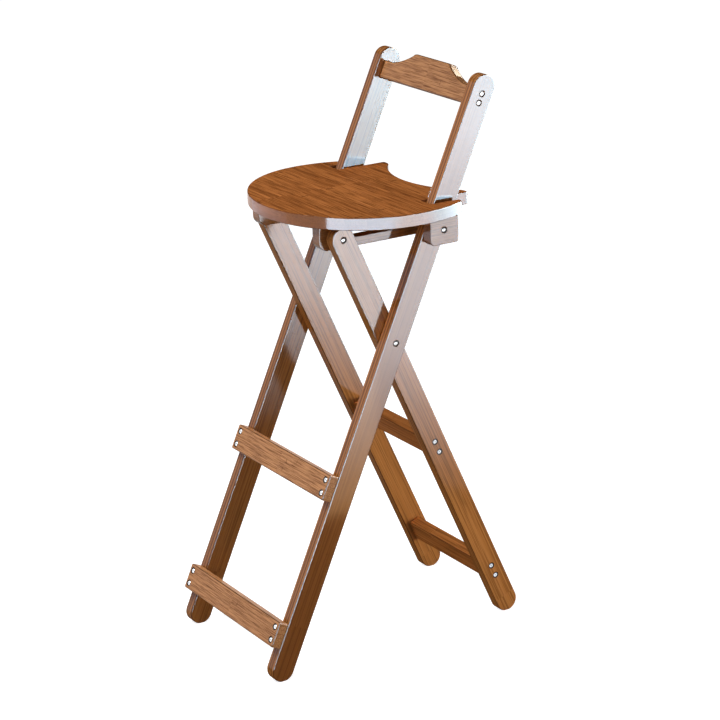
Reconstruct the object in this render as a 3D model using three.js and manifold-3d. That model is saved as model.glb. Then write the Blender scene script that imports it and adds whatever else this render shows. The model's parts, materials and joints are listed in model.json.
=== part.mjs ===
// Folding bar stool in laminated bamboo, shown open and standing on the floor.
// Two long side boards carry the feet, the footrests and the backrest. Two short legs cross them.
// The seat turns on the side boards, and the short legs' tops slide in slots under it.
// Millimetres. +Z is up and the front of the seat faces -Y, so the sitter's left is +X.

import * as THREE from 'three';
import { mergeVertices } from 'three/addons/utils/BufferGeometryUtils.js';
import Module from 'manifold-3d';

const wasm = await Module();
wasm.setup();

// Heights, widths and the fold
const seatTopHeight = 700;
const frameWidth = 276.5; // over the outer faces of the side boards
const leanDegrees = 24; // both pairs of legs, from upright
const pivotSpan = 183; // leg pivot to seat pivot, and to slot pin, along the boards
const pivotDrop = 19; // underside of the seat down to the seat pivot and the slot pin
const backReach = 419; // leg pivot to the top end of the side boards

// Side boards and short legs, which have full-round ends
const boardWidth = 37;
const boardThickness = 19;
const boardEdgeRadius = 1.6;
const footFlatDepth = 0.5; // taken off each round foot where it stands

// Clearances
const laneGap = 1; // between boards that turn side by side
const restGap = 0.3; // between faces that are screwed or pressed together
const cutOverrun = 2; // how far a cutting shape runs past the face that it cuts

// Seat board
const seatThickness = 19;
const seatRadius = 177; // round behind its centre
const seatFrontReach = 162.7; // and flatter ahead of it
const seatBackShift = 24; // its centre behind the leg pivot
const seatEdgeRadius = 1.6;
const postSlotInnerGap = 2;
const postSlotOuterGap = 5.5;
const postSlotFrontGap = 0.6; // at the underside, where the post leans closest
const postSlotCornerRadius = 2;
const backCutReach = 84.7; // seat centre to the deepest point of the curved back cut
const backCutRadius = 159.5;
const hornWidth = 13.6; // each horn, from its post slot to the back cut's corner
const hornCornerRadius = 4.5;
const lobeTipShare = 0.23; // tip radius over the width left outside a post slot

// Slotted cleats under the seat, which the slot pins run in
const cleatThickness = 20;
const cleatHeight = 37;
const cleatFrontReach = 29.2; // ahead of the slot pin
const cleatRearReach = 23.6; // behind the seat pivot
const cleatCornerRadius = 14;
const cleatEdgeRadius = 1.2;

// Brackets under the seat, outside the side boards
const bracketThickness = 20;
const bracketHeight = 40.7;
const bracketFrontReach = 23.8;
const bracketRearReach = 25.6;
const bracketFrontRadius = 7.5;
const bracketRearRadius = 4;
const bracketEdgeRadius = 1.2;
const bracketTopCornerRadius = 1.4;
const bracketScrewInset = 8.5;

// Backrest rail between the posts, centred on their width
const railThickness = 17;
const railBottomReach = 368.4; // leg pivot to the rail's lower edge
const railEndHeight = 28.6;
const railRise = 22; // raised middle above the ends
const railCrownHalfWidth = 42;
const railFlankHalfWidth = 96;
const railFlankShares = [[0.815, 0.118], [0.593, 0.295], [0.352, 0.559], [0.167, 0.818], [0.111, 0.941]];
const railEdgeRadius = 2.5;
const railCornerRadius = 3;

// Footrests on the fronts of the side boards
const footrestHeight = 40;
const footrestThickness = 16.5;
const footrestEdgeRadius = 2.2;
const footrestCornerRadius = 2.6;
const upperFootrestReach = 236; // leg pivot down to its middle, along the board
const lowerFootrestReach = 470.5;

// Stretchers between the short legs
const stretcherWidth = 36;
const stretcherThickness = 18.5;
const stretcherEdgeRadius = 1.6;
const stretcherCornerRadius = 2;
const upperStretcherReach = 206;
const lowerStretcherReach = 459;

// Countersunk wood screws
const screwHeadRadius = 3.9;
const screwRimHeight = 0.4;
const screwHeadHeight = 2.8;
const screwShankRadius = 1.75;
const screwPointLength = 3;
const screwSink = 0.3; // head below the wood's face
const footrestScrewLength = 37;
const footrestScrewSpacing = 20.6;
const stretcherScrewLength = 49;
const stretcherScrewSpacing = 19.6;
const railScrewLength = 45;
const railScrewSpacing = 14.2;
const underScrewLength = 42;
const underScrewBite = 12; // into the underside of the seat

// Pivot bolts with domed heads, sunk in counterbores
const boltHeadRadius = 3.5;
const boltHeadHeight = 3;
const boltShankRadius = 2.5;
const counterboreRadius = 5.3;
const counterboreDepth = 4;
const insertRadius = 4.2;
const insertLength = 14;
const seatBoltBite = 12; // shank inside the insert nut
const sleeveRadius = 4;
const sleeveHeadRadius = 4.8;
const sleeveHeadHeight = 2.5;
const sleeveWall = 2.4; // closed end behind the sleeve's head
const washerRadius = 8;
const washerThickness = 0.4;
const bushRadius = 6;
const bushFlangeRadius = 9;
const bushFlangeThickness = 2.5;
const slotNutRadius = 4.5;
const slotNutThickness = 4.5;
const slotBoltTail = 1; // shank past the nut

// How smooth the round work is
const arcTolerance = 0.2;
const roundSides = 10;
const pivotSides = 14;
const seatFrontSteps = 18;
const domeSteps = 3;
const edgeSteps = 2;

// Places worked out from the sizes above
const degree = Math.PI / 180;
const lean = leanDegrees * degree;
const seatUnderside = seatTopHeight - seatThickness;
const pivotHeight = seatUnderside - pivotDrop;
const crossHeight = pivotHeight - pivotSpan * Math.cos(lean);
const pivotBack = pivotSpan * Math.sin(lean); // seat pivot behind the leg pivot, slot pin ahead of it
const footRadius = boardWidth / 2;
const footReach = (crossHeight - footRadius + footFlatDepth) / Math.cos(lean);
const sideOuter = frameWidth / 2;
const sideMiddle = sideOuter - boardThickness / 2;
const sideInner = sideOuter - boardThickness;
const legOuter = sideInner - laneGap;
const legMiddle = legOuter - boardThickness / 2;
const legInner = legOuter - boardThickness;
const cleatOuter = legInner - laneGap;
const cleatMiddle = cleatOuter - cleatThickness / 2;
const cleatInner = cleatOuter - cleatThickness;
const bracketInner = sideOuter + laneGap;
const bracketMiddle = bracketInner + bracketThickness / 2;
const bracketOuter = bracketInner + bracketThickness;
const hangerTop = seatUnderside - restGap;
const slotRadius = bushRadius + restGap;

const bamboo = new THREE.MeshStandardMaterial({ name: 'lacquered bamboo', color: 0x8a5730, roughness: 0.32 });
const bambooSeat = new THREE.MeshStandardMaterial({ name: 'seat bamboo', color: 0x94613a, roughness: 0.3 });
const zincSteel = new THREE.MeshStandardMaterial({
  name: 'zinc-plated steel', color: 0xc9c9c6, roughness: 0.3, metalness: 1,
});

// Solids for cutting, from closed meshes whose shared points are merged
function solidOf(geometry) {
  const bare = geometry.clone();
  bare.deleteAttribute('normal');
  bare.deleteAttribute('uv');
  const merged = mergeVertices(bare);
  return new wasm.Manifold(new wasm.Mesh({
    numProp: 3,
    vertProperties: new Float32Array(merged.attributes.position.array),
    triVerts: new Uint32Array(merged.index.array),
  }));
}

function geometryOf(solid) {
  const cut = solid.getMesh();
  const geometry = new THREE.BufferGeometry();
  geometry.setAttribute('position', new THREE.BufferAttribute(new Float32Array(cut.vertProperties), 3));
  geometry.setIndex(new THREE.BufferAttribute(new Uint32Array(cut.triVerts), 1));
  geometry.computeVertexNormals();
  return geometry;
}

// Points along an arc, as many as its radius needs
function arc(centreX, centreY, radius, from, to) {
  const turn = 2 * Math.acos(1 - Math.min(arcTolerance / radius, 1));
  const steps = Math.max(2, Math.ceil(Math.abs(to - from) / turn));
  const points = [];
  for (let step = 0; step <= steps; step += 1) {
    const angle = from + (to - from) * step / steps;
    points.push(new THREE.Vector2(centreX + radius * Math.cos(angle), centreY + radius * Math.sin(angle)));
  }
  return points;
}

// A rectangle whose corner radii run from the lower left round to the upper left
function cornered(left, bottom, right, top, radii) {
  const quarter = Math.PI / 2;
  return [
    ...arc(left + radii[0], bottom + radii[0], radii[0], 2 * quarter, 3 * quarter),
    ...arc(right - radii[1], bottom + radii[1], radii[1], 3 * quarter, 4 * quarter),
    ...arc(right - radii[2], top - radii[2], radii[2], 0, quarter),
    ...arc(left + radii[3], top - radii[3], radii[3], quarter, 2 * quarter),
  ];
}

// A bar with two round ends that stands upright
function barOutline(bottomCentre, topCentre, radius) {
  return [
    ...arc(0, bottomCentre, radius, Math.PI, 2 * Math.PI),
    ...arc(0, topCentre, radius, 0, Math.PI),
  ];
}

// The way that an outline lies: the axes that its width, its height and its thickness take
const flat = new THREE.Matrix4();
const sideways = new THREE.Matrix4().makeBasis(
  new THREE.Vector3(0, 1, 0), new THREE.Vector3(0, 0, 1), new THREE.Vector3(1, 0, 0));
const facing = new THREE.Matrix4().makeBasis(
  new THREE.Vector3(1, 0, 0), new THREE.Vector3(0, 0, 1), new THREE.Vector3(0, -1, 0));

// A board cut to an outline, centred on its thickness, with all its edges rounded over
function board(outline, thickness, edgeRadius, lie, openings = []) {
  const shape = new THREE.Shape(outline);
  openings.forEach((opening) => shape.holes.push(new THREE.Path(opening)));
  const geometry = new THREE.ExtrudeGeometry(shape, {
    depth: thickness - 2 * edgeRadius,
    bevelThickness: edgeRadius,
    bevelSize: edgeRadius,
    bevelOffset: -edgeRadius,
    bevelSegments: edgeSteps,
    steps: 1,
  });
  geometry.translate(0, 0, edgeRadius - thickness / 2);
  geometry.applyMatrix4(lie);
  return solidOf(geometry);
}

function lathed(profile, sides) {
  return new THREE.LatheGeometry(profile.map(([radius, along]) => new THREE.Vector2(radius, along)), sides);
}

// Fasteners are turned about their own +Y, which points out of the wood at their head
function screw(length, sink = screwSink) {
  const body = [
    [0, -length],
    [screwShankRadius, screwPointLength - length],
    [screwShankRadius, -screwHeadHeight],
    [screwHeadRadius, -screwRimHeight],
    [screwHeadRadius, 0],
    [0, 0],
  ];
  const hole = [
    [0, -length - restGap],
    [screwShankRadius + restGap, -length - restGap],
    [screwShankRadius + restGap, -screwHeadHeight - restGap],
    [screwHeadRadius + restGap, -screwRimHeight - restGap],
    [screwHeadRadius + restGap, sink + cutOverrun],
    [0, sink + cutOverrun],
  ];
  return { body: lathed(body, roundSides), hole: lathed(hole, roundSides), sink };
}

function domedHead() {
  const dome = [];
  for (let step = 0; step <= domeSteps; step += 1) {
    const rise = step / domeSteps * Math.PI / 2;
    dome.push([boltHeadRadius * Math.cos(rise), boltHeadHeight / 2 * (Math.sin(rise) - 1)]);
  }
  dome[domeSteps][0] = 0;
  return dome;
}

function bolt(length, holeLength) {
  const body = [
    [0, -length],
    [boltShankRadius, -length],
    [boltShankRadius, -boltHeadHeight],
    [boltHeadRadius, -boltHeadHeight],
    ...domedHead(),
  ];
  const sink = counterboreDepth - boltHeadHeight - restGap;
  const hole = [
    [0, -holeLength],
    [boltShankRadius + restGap, -holeLength],
    [boltShankRadius + restGap, sink - counterboreDepth],
    [counterboreRadius, sink - counterboreDepth],
    [counterboreRadius, sink + cutOverrun],
    [0, sink + cutOverrun],
  ];
  return { body: lathed(body, pivotSides), hole: lathed(hole, pivotSides), sink };
}

// A plain ring from its outer face at 0 inwards
function ring(innerRadius, outerRadius, length) {
  const body = [
    [innerRadius, 0],
    [innerRadius, -length],
    [outerRadius, -length],
    [outerRadius, 0],
    [innerRadius, 0],
  ];
  return { body: lathed(body, pivotSides), sink: 0 };
}

function plug(radius, length) {
  const hole = [[0, -length], [radius, -length], [radius, cutOverrun], [0, cutOverrun]];
  return { hole: lathed(hole, pivotSides), sink: 0 };
}

// Where a fastener sits: the point on the wood's face and the way that its head looks
function seated(fastener, x, y, z, outward) {
  const turn = new THREE.Quaternion().setFromUnitVectors(new THREE.Vector3(0, 1, 0), outward);
  const at = new THREE.Vector3(x, y, z).addScaledVector(outward, -fastener.sink);
  return { ...fastener, at, turn };
}

function bored(solid, origin, fasteners) {
  return fasteners.reduce((rest, fastener) => {
    const tool = fastener.hole.clone().applyQuaternion(fastener.turn);
    tool.translate(fastener.at.x - origin.x, fastener.at.y - origin.y, fastener.at.z - origin.z);
    return rest.subtract(solidOf(tool));
  }, solid);
}

function addBoard(group, name, material, solid, origin) {
  const mesh = new THREE.Mesh(geometryOf(solid), material);
  mesh.name = name;
  mesh.position.copy(origin);
  group.add(mesh);
}

function addFastener(group, name, fastener) {
  const mesh = new THREE.Mesh(fastener.body, zincSteel);
  mesh.name = name;
  mesh.position.copy(fastener.at);
  mesh.quaternion.copy(fastener.turn);
  group.add(mesh);
}

const out = (side) => new THREE.Vector3(side, 0, 0);
const front = new THREE.Vector3(0, -1, 0);
const down = new THREE.Vector3(0, 0, -1);
const sides = [['left', 1], ['right', -1]];

// Groups: the leg pivot is the origin of the two leaning frames
const pivotFrame = new THREE.Group();
pivotFrame.position.z = crossHeight;
const longFrame = new THREE.Group();
longFrame.rotation.x = -lean;
const shortFrame = new THREE.Group();
shortFrame.rotation.x = lean;
const seatFrame = new THREE.Group();
seatFrame.position.z = -crossHeight;
pivotFrame.add(longFrame, shortFrame, seatFrame);

// What lies below the floor, seen from a frame that leans by the given angle
function belowFloor(angle) {
  const reach = 4 * boardWidth;
  const block = new THREE.BoxGeometry(reach, 2 * footReach, reach);
  block.translate(0, 0, -crossHeight - reach / 2);
  block.rotateX(-angle);
  return solidOf(block);
}

// Fasteners of the long frame, each with the boards that it passes through
const footrestFace = -(boardWidth / 2 + restGap + footrestThickness);
const footrests = [['upper', -upperFootrestReach], ['lower', -lowerFootrestReach]];
const footrestScrews = footrests.flatMap(([level, reach]) => sides.flatMap(([hand, side]) => (
  [1, -1].map((end) => ({
    level,
    side,
    name: `${level}_footrest_screw_${hand}_${end > 0 ? 'top' : 'bottom'}`,
    ...seated(screw(footrestScrewLength), side * sideMiddle, footrestFace,
      reach + end * footrestScrewSpacing / 2, front),
  }))
)));
const railMiddle = railBottomReach + railEndHeight / 2;
const railScrews = sides.flatMap(([hand, side]) => [1, -1].map((end) => ({
  side,
  name: `rail_screw_${hand}_${end > 0 ? 'top' : 'bottom'}`,
  ...seated(screw(railScrewLength), side * sideOuter, 0, railMiddle + end * railScrewSpacing / 2, out(side)),
})));

function legBolt(side) {
  const sink = counterboreDepth - boltHeadHeight - restGap;
  const length = boardThickness - sink + laneGap - restGap;
  return seated(bolt(length, boardThickness + cutOverrun), side * sideOuter, 0, 0, out(side));
}

function seatInsert(side) {
  const insert = {
    ...ring(boltShankRadius + restGap, insertRadius, insertLength),
    ...plug(insertRadius + restGap, insertLength + restGap),
  };
  return seated(insert, side * (sideOuter - restGap), 0, pivotSpan, out(side));
}

// Long side boards, with the posts at their top and the front feet at their bottom
for (const [hand, side] of sides) {
  const origin = new THREE.Vector3(side * sideMiddle, 0, 0);
  const outline = barOutline(-footReach, backReach - footRadius, footRadius);
  const footed = board(outline, boardThickness, boardEdgeRadius, sideways).subtract(belowFloor(-lean));
  const fasteners = [
    legBolt(side),
    seatInsert(side),
    ...railScrews.filter((each) => each.side === side),
    ...footrestScrews.filter((each) => each.side === side),
  ];
  addBoard(longFrame, `side_board_${hand}`, bamboo, bored(footed, origin, fasteners), origin);
  addFastener(longFrame, `leg_bolt_${hand}`, legBolt(side));
  addFastener(longFrame, `seat_insert_nut_${hand}`, seatInsert(side));
  const washer = ring(boltShankRadius + restGap, washerRadius, washerThickness);
  addFastener(longFrame, `leg_washer_${hand}`,
    seated(washer, side * (sideInner - restGap), 0, 0, out(side)));
}

// Backrest rail: straight below, with a crown that falls to its ends in one sweep
function railOutline() {
  const half = sideInner - restGap;
  const endTop = railBottomReach + railEndHeight;
  const flankWidth = railFlankHalfWidth - railCrownHalfWidth;
  const flank = new THREE.SplineCurve([
    new THREE.Vector2(railFlankHalfWidth, endTop),
    ...railFlankShares.map(([across, rise]) => (
      new THREE.Vector2(railCrownHalfWidth + across * flankWidth, endTop + rise * railRise))),
    new THREE.Vector2(railCrownHalfWidth, endTop + railRise),
  ]).getPoints(2 * (railFlankShares.length + 1));
  const quarter = Math.PI / 2;
  const inset = half - railCornerRadius;
  const right = [
    ...arc(inset, railBottomReach + railCornerRadius, railCornerRadius, -quarter, 0),
    ...arc(inset, endTop - railCornerRadius, railCornerRadius, 0, quarter),
    ...flank,
  ];
  const left = right.map((point) => new THREE.Vector2(-point.x, point.y)).reverse();
  return [...right, ...left];
}

const railOrigin = new THREE.Vector3(0, 0, 0);
const plainRail = board(railOutline(), railThickness, railEdgeRadius, facing);
addBoard(longFrame, 'backrest_rail', bamboo, bored(plainRail, railOrigin, railScrews), railOrigin);
railScrews.forEach((each) => addFastener(longFrame, each.name, each));

// Footrests
for (const [level, reach] of footrests) {
  const origin = new THREE.Vector3(0, footrestFace + footrestThickness / 2, reach);
  const radii = new Array(4).fill(footrestCornerRadius);
  const outline = cornered(-sideOuter, -footrestHeight / 2, sideOuter, footrestHeight / 2, radii);
  const plain = board(outline, footrestThickness, footrestEdgeRadius, facing);
  const screws = footrestScrews.filter((each) => each.level === level);
  addBoard(longFrame, `${level}_footrest`, bamboo, bored(plain, origin, screws), origin);
  screws.forEach((each) => addFastener(longFrame, each.name, each));
}

// Short legs: rear feet at the bottom, slot pins at the top
const stretchers = [['upper', -upperStretcherReach], ['lower', -lowerStretcherReach]];
const stretcherScrews = stretchers.flatMap(([level, reach]) => sides.flatMap(([hand, side]) => (
  [1, -1].map((end) => ({
    level,
    side,
    name: `${level}_stretcher_screw_${hand}_${end > 0 ? 'top' : 'bottom'}`,
    ...seated(screw(stretcherScrewLength), side * legOuter, 0,
      reach + end * stretcherScrewSpacing / 2, out(side)),
  }))
)));

function legSleeve(side) {
  const length = boardThickness - restGap;
  const bore = boltShankRadius + restGap;
  const body = lathed([
    [0, -sleeveWall],
    [bore, -sleeveWall],
    [bore, -length],
    [sleeveRadius, -length],
    [sleeveRadius, -sleeveHeadHeight],
    [sleeveHeadRadius, -sleeveHeadHeight],
    [sleeveHeadRadius, 0],
    [0, 0],
  ], pivotSides);
  const hole = lathed([
    [0, -length - cutOverrun],
    [sleeveRadius + restGap, -length - cutOverrun],
    [sleeveRadius + restGap, -sleeveHeadHeight - restGap],
    [counterboreRadius, -sleeveHeadHeight - restGap],
    [counterboreRadius, cutOverrun],
    [0, cutOverrun],
  ], pivotSides);
  const face = side * (legInner + restGap);
  return seated({ body, hole, sink: 0 }, face, 0, 0, out(-side));
}

function slotBolt(side) {
  const sink = counterboreDepth - boltHeadHeight - restGap;
  const stack = boardThickness + laneGap + cleatThickness + restGap + bushFlangeThickness;
  const length = stack - sink + restGap + slotNutThickness + slotBoltTail;
  return seated(bolt(length, boardThickness + cutOverrun), side * legOuter, 0, pivotSpan, out(side));
}

for (const [hand, side] of sides) {
  const origin = new THREE.Vector3(side * legMiddle, 0, 0);
  const outline = barOutline(-footReach, pivotSpan, footRadius);
  const footed = board(outline, boardThickness, boardEdgeRadius, sideways).subtract(belowFloor(lean));
  const fasteners = [
    legSleeve(side),
    slotBolt(side),
    ...stretcherScrews.filter((each) => each.side === side),
  ];
  addBoard(shortFrame, `short_leg_${hand}`, bamboo, bored(footed, origin, fasteners), origin);
  addFastener(shortFrame, `leg_sleeve_nut_${hand}`, legSleeve(side));
  addFastener(shortFrame, `slot_bolt_${hand}`, slotBolt(side));
}

for (const [level, reach] of stretchers) {
  const half = legInner - restGap;
  const origin = new THREE.Vector3(0, 0, reach);
  const radii = new Array(4).fill(stretcherCornerRadius);
  const outline = cornered(-half, -stretcherWidth / 2, half, stretcherWidth / 2, radii);
  const plain = board(outline, stretcherThickness, stretcherEdgeRadius, facing);
  const screws = stretcherScrews.filter((each) => each.level === level);
  addBoard(shortFrame, `${level}_stretcher`, bamboo, bored(plain, origin, screws), origin);
  screws.forEach((each) => addFastener(shortFrame, each.name, each));
}

// Seat outline about the seat's centre: the right half from the front round to the back cut
function seatOutline() {
  const slotInner = sideInner - postSlotInnerGap;
  const slotOuter = sideOuter + postSlotOuterGap;
  const postFront = pivotBack + pivotDrop * Math.tan(lean) - boardWidth / 2 / Math.cos(lean);
  const slotFront = postFront - postSlotFrontGap - seatBackShift;
  const corner = postSlotCornerRadius;
  const quarter = Math.PI / 2;
  const tipRadius = lobeTipShare * (Math.sqrt(seatRadius ** 2 - slotFront ** 2) - slotOuter);
  const tipX = slotOuter + tipRadius;
  const tipY = Math.sqrt((seatRadius - tipRadius) ** 2 - tipX ** 2);
  const tipAngle = Math.atan2(tipY, tipX);
  const cutCentre = backCutReach + backCutRadius;
  const cutHalf = slotInner - hornWidth;
  const hornReach = cutCentre - Math.sqrt(backCutRadius ** 2 - cutHalf ** 2);
  const cutAngle = Math.atan2(hornReach - cutCentre, cutHalf);
  const easing = hornCornerRadius / backCutRadius;
  const right = [
    ...new THREE.EllipseCurve(0, 0, seatRadius, seatFrontReach, -quarter, 0).getPoints(seatFrontSteps),
    ...arc(0, 0, seatRadius, 0, tipAngle).slice(1),
    ...arc(tipX, tipY, tipRadius, tipAngle, 2 * quarter),
    ...arc(slotOuter - corner, slotFront + corner, corner, 0, -quarter),
    ...arc(slotInner + corner, slotFront + corner, corner, -quarter, -2 * quarter),
    ...arc(slotInner - hornCornerRadius, hornReach - hornCornerRadius, hornCornerRadius, 0, quarter),
    ...new THREE.QuadraticBezierCurve(
      new THREE.Vector2(cutHalf + hornCornerRadius, hornReach),
      new THREE.Vector2(cutHalf, hornReach),
      new THREE.Vector2(backCutRadius * Math.cos(cutAngle - easing),
        cutCentre + backCutRadius * Math.sin(cutAngle - easing)),
    ).getPoints(2),
    ...arc(0, cutCentre, backCutRadius, cutAngle - easing, -quarter).slice(1),
  ];
  const left = right.slice(1, -1).map((point) => new THREE.Vector2(-point.x, point.y)).reverse();
  return [...right, ...left];
}

// Screws that hold the cleats and the brackets up to the seat
const slotEnd = pivotBack + slotRadius;
const cleatFront = -pivotBack - cleatFrontReach;
const cleatRear = pivotBack + cleatRearReach;
const bracketFront = pivotBack - bracketFrontReach;
const bracketRear = pivotBack + bracketRearReach;

function underScrew(x, y, height) {
  const sink = height - (underScrewLength - underScrewBite);
  return seated(screw(underScrewLength, sink), x, y, hangerTop - height, down);
}

const cleatScrews = sides.flatMap(([hand, side]) => [
  { side, name: `cleat_screw_${hand}_front`,
    ...underScrew(side * cleatMiddle, (cleatFront - slotEnd) / 2, cleatHeight) },
  { side, name: `cleat_screw_${hand}_rear`,
    ...underScrew(side * cleatMiddle, (cleatRear + slotEnd) / 2, cleatHeight) },
]);
const bracketScrews = sides.flatMap(([hand, side]) => [
  { side, name: `bracket_screw_${hand}_front`,
    ...underScrew(side * bracketMiddle, bracketFront + bracketScrewInset, bracketHeight) },
  { side, name: `bracket_screw_${hand}_rear`,
    ...underScrew(side * bracketMiddle, bracketRear - bracketScrewInset, bracketHeight) },
]);

const seatOrigin = new THREE.Vector3(0, seatBackShift, seatTopHeight - seatThickness / 2);
const plainSeat = board(seatOutline(), seatThickness, seatEdgeRadius, flat);
const seatScrews = [...cleatScrews, ...bracketScrews];
addBoard(seatFrame, 'seat_board', bambooSeat, bored(plainSeat, seatOrigin, seatScrews), seatOrigin);
seatScrews.forEach((each) => addFastener(seatFrame, each.name, each));

// Cleats, each with the long slot that its pin runs in, from the short leg's top to the seat pivot
for (const [hand, side] of sides) {
  const origin = new THREE.Vector3(side * cleatMiddle, 0, pivotHeight);
  const bottom = hangerTop - cleatHeight - pivotHeight;
  const top = hangerTop - pivotHeight;
  const topCorner = cleatEdgeRadius + restGap;
  const outline = cornered(cleatFront, bottom, cleatRear, top,
    [cleatCornerRadius, cleatCornerRadius, topCorner, topCorner]);
  const slot = [
    ...arc(-pivotBack, 0, slotRadius, Math.PI / 2, 3 * Math.PI / 2),
    ...arc(pivotBack, 0, slotRadius, -Math.PI / 2, Math.PI / 2),
  ];
  const plain = board(outline, cleatThickness, cleatEdgeRadius, sideways, [slot]);
  const screws = cleatScrews.filter((each) => each.side === side);
  addBoard(seatFrame, `seat_cleat_${hand}`, bamboo, bored(plain, origin, screws), origin);

  const bore = boltShankRadius + restGap;
  const flangeFace = cleatInner - restGap - bushFlangeThickness;
  const bushLength = legInner - restGap - flangeFace;
  const bush = lathed([
    [bore, 0],
    [bore, -bushLength],
    [bushRadius, -bushLength],
    [bushRadius, -bushFlangeThickness],
    [bushFlangeRadius, -bushFlangeThickness],
    [bushFlangeRadius, 0],
    [bore, 0],
  ], pivotSides);
  addFastener(seatFrame, `slot_bush_${hand}`,
    seated({ body: bush, sink: 0 }, side * flangeFace, -pivotBack, pivotHeight, out(-side)));
  const nut = ring(bore, slotNutRadius, slotNutThickness);
  addFastener(seatFrame, `slot_nut_${hand}`, seated(nut, side * (flangeFace - restGap), -pivotBack,
    pivotHeight, out(side)));
}

// Brackets, with the bolts that the seat turns on
for (const [hand, side] of sides) {
  const origin = new THREE.Vector3(side * bracketMiddle, 0, pivotHeight);
  const bottom = hangerTop - bracketHeight - pivotHeight;
  const outline = cornered(bracketFront, bottom, bracketRear, hangerTop - pivotHeight,
    [bracketFrontRadius, bracketRearRadius, bracketTopCornerRadius, bracketTopCornerRadius]);
  const plain = board(outline, bracketThickness, bracketEdgeRadius, sideways);
  const sink = counterboreDepth - boltHeadHeight - restGap;
  const seatBolt = seated(bolt(bracketThickness - sink + laneGap + seatBoltBite,
    bracketThickness + cutOverrun), side * bracketOuter, pivotBack, pivotHeight, out(side));
  const screws = bracketScrews.filter((each) => each.side === side);
  addBoard(seatFrame, `pivot_bracket_${hand}`, bamboo, bored(plain, origin, [seatBolt, ...screws]), origin);
  addFastener(seatFrame, `seat_bolt_${hand}`, seatBolt);
  const washer = ring(boltShankRadius + restGap, washerRadius, washerThickness);
  addFastener(seatFrame, `seat_washer_${hand}`,
    seated(washer, side * (bracketInner - restGap), pivotBack, pivotHeight, out(side)));
}

// The origin is on the floor, at the middle of the stool's outline
const stool = new THREE.Group();
stool.add(pivotFrame);
const reachBox = new THREE.Box3().setFromObject(stool, true);
pivotFrame.position.y = -(reachBox.min.y + reachBox.max.y) / 2;

export default stool;
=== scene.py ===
import json
import math
from functools import partial

import bmesh
import bpy
from mathutils import Matrix, Vector

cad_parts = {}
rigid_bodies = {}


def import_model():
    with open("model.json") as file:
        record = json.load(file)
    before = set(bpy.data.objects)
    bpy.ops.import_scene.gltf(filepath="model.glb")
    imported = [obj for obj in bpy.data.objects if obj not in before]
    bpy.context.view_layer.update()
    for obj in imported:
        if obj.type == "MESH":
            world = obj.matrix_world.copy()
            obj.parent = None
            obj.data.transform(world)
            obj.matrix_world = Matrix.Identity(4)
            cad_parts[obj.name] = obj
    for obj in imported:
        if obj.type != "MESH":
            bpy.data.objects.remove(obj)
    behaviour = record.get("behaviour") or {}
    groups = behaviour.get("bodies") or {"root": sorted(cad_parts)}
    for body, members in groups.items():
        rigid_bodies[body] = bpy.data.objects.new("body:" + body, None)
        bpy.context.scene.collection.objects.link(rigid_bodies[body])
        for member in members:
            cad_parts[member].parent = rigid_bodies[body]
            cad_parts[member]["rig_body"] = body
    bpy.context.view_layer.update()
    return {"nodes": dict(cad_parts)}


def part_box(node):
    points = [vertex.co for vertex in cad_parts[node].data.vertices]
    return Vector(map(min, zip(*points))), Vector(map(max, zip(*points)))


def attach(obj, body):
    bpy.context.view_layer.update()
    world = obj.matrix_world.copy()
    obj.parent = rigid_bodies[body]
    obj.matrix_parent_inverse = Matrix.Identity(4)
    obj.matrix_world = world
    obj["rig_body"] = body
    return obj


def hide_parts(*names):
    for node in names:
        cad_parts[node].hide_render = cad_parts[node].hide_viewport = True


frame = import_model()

nodes = frame["nodes"]
mm = 0.001
quarter = math.pi / 2
white = (1, 1, 1, 1)

# The sizes that several pieces share, as in the solids: millimetres, and degrees for the lean
stool = dict(lean=24, pivotSpan=183, pivotDrop=19, seatTop=700, seatThickness=19, frameWidth=276.5,
             boardThickness=19, boardWidth=37, laneGap=1, restGap=0.3, footFlat=0.5)
# How finely round shapes are drawn, and the angles in degrees past which an edge stays sharp
fine = dict(edgeSteps=5, drillSides=48, turnedSides=56, headSides=40, domeRings=24, woodSharp=40,
            steelSharp=35, faceWeight=90)
lean = math.radians(stool["lean"])
hands = (("left", 1), ("right", -1))
levels, ends, rims = ("upper", "lower"), ("top", "bottom"), ("front", "rear")


# sRGB hex to the linear values that the shaders take
def linear(hexColour):
    channels = [int(hexColour[i:i + 2], 16) / 255 for i in (1, 3, 5)]
    return (*(c / 12.92 if c <= 0.04045 else ((c + 0.055) / 1.055) ** 2.4 for c in channels), 1.0)


# Adds a node of a kind, with its operation if it has one. Plain values fill its sockets in order,
# capitalised names pick a socket, and other names are settings. A node that is given as a value is
# linked from its first output, and a list one by one
def addNode(tree, kind, *values, **named):
    kind, *operation = kind.split()
    node = tree.nodes.new(kind)
    if operation:
        node.operation = operation[0]
    for name, value in named.items():
        if name[0].islower():
            setattr(node, name, value)
    filled = list(zip([socket for socket in node.inputs if socket.enabled], values))
    filled += [(node.inputs[name.replace("_", " ")], value) for name, value in named.items()
               if name[0].isupper()]
    for socket, value in filled:
        for each in value if isinstance(value, list) else [value]:
            if isinstance(each, bpy.types.Node):
                each = next(output for output in each.outputs if output.enabled)
            if isinstance(each, bpy.types.NodeSocket):
                tree.links.new(each, socket)
            else:
                socket.default_value = each
    return node


# A material without nodes, and what adds one to it
def blankMaterial(name):
    material = bpy.data.materials.new(name)
    material.use_nodes = True
    material.node_tree.nodes.clear()
    return material, partial(addNode, material.node_tree)


print("stage: materials")

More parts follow.
